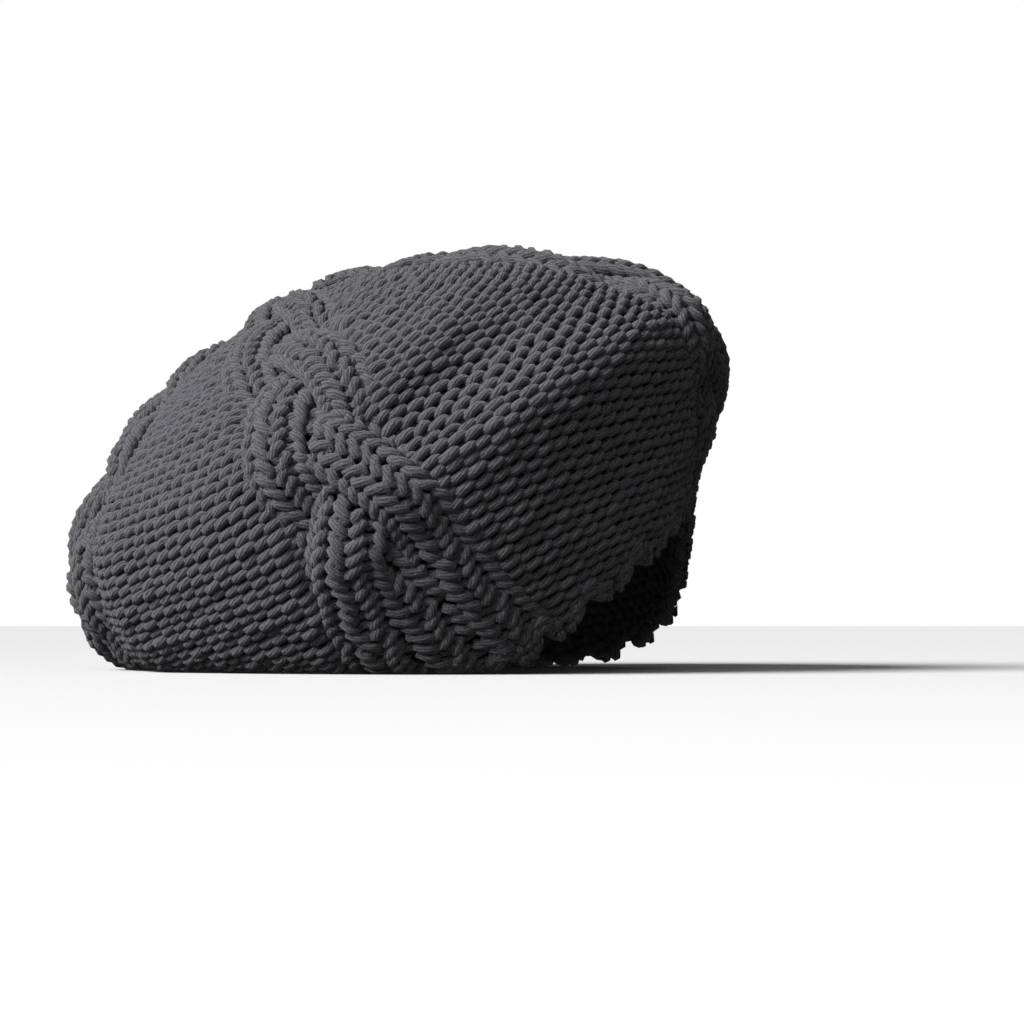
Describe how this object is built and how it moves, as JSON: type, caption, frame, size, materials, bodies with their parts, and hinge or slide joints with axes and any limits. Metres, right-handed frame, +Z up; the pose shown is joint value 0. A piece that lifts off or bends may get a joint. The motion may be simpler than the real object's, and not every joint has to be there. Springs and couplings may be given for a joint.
{
  "type": "knit beret",
  "caption": "Slouchy knitted beret with plaited cable panels, purl gores and a scalloped edge, hollow and open below, lying crown up and tipped to one side.",
  "frame": {"origin": "middle of the footprint of the lying beret, on the surface it lies on", "axes": "+Z up; the front, with one whole cable in view, faces -Y; the crown tips to -X and the opening faces down and to +X"},
  "size_m": [0.2472, 0.2576, 0.1594],
  "materials": {
    "yarn": "soft plied charcoal grey wool, matt, slightly fuzzy"
  },
  "bodies": {
    "root": {"front_cable": "yarn", "right_cable": "yarn", "back_cable": "yarn", "left_cable": "yarn", "front_right_gore": "yarn", "back_right_gore": "yarn", "back_left_gore": "yarn", "front_left_gore": "yarn", "scalloped_edge": "yarn", "crown_gather": "yarn"}
  },
  "joints": []
}
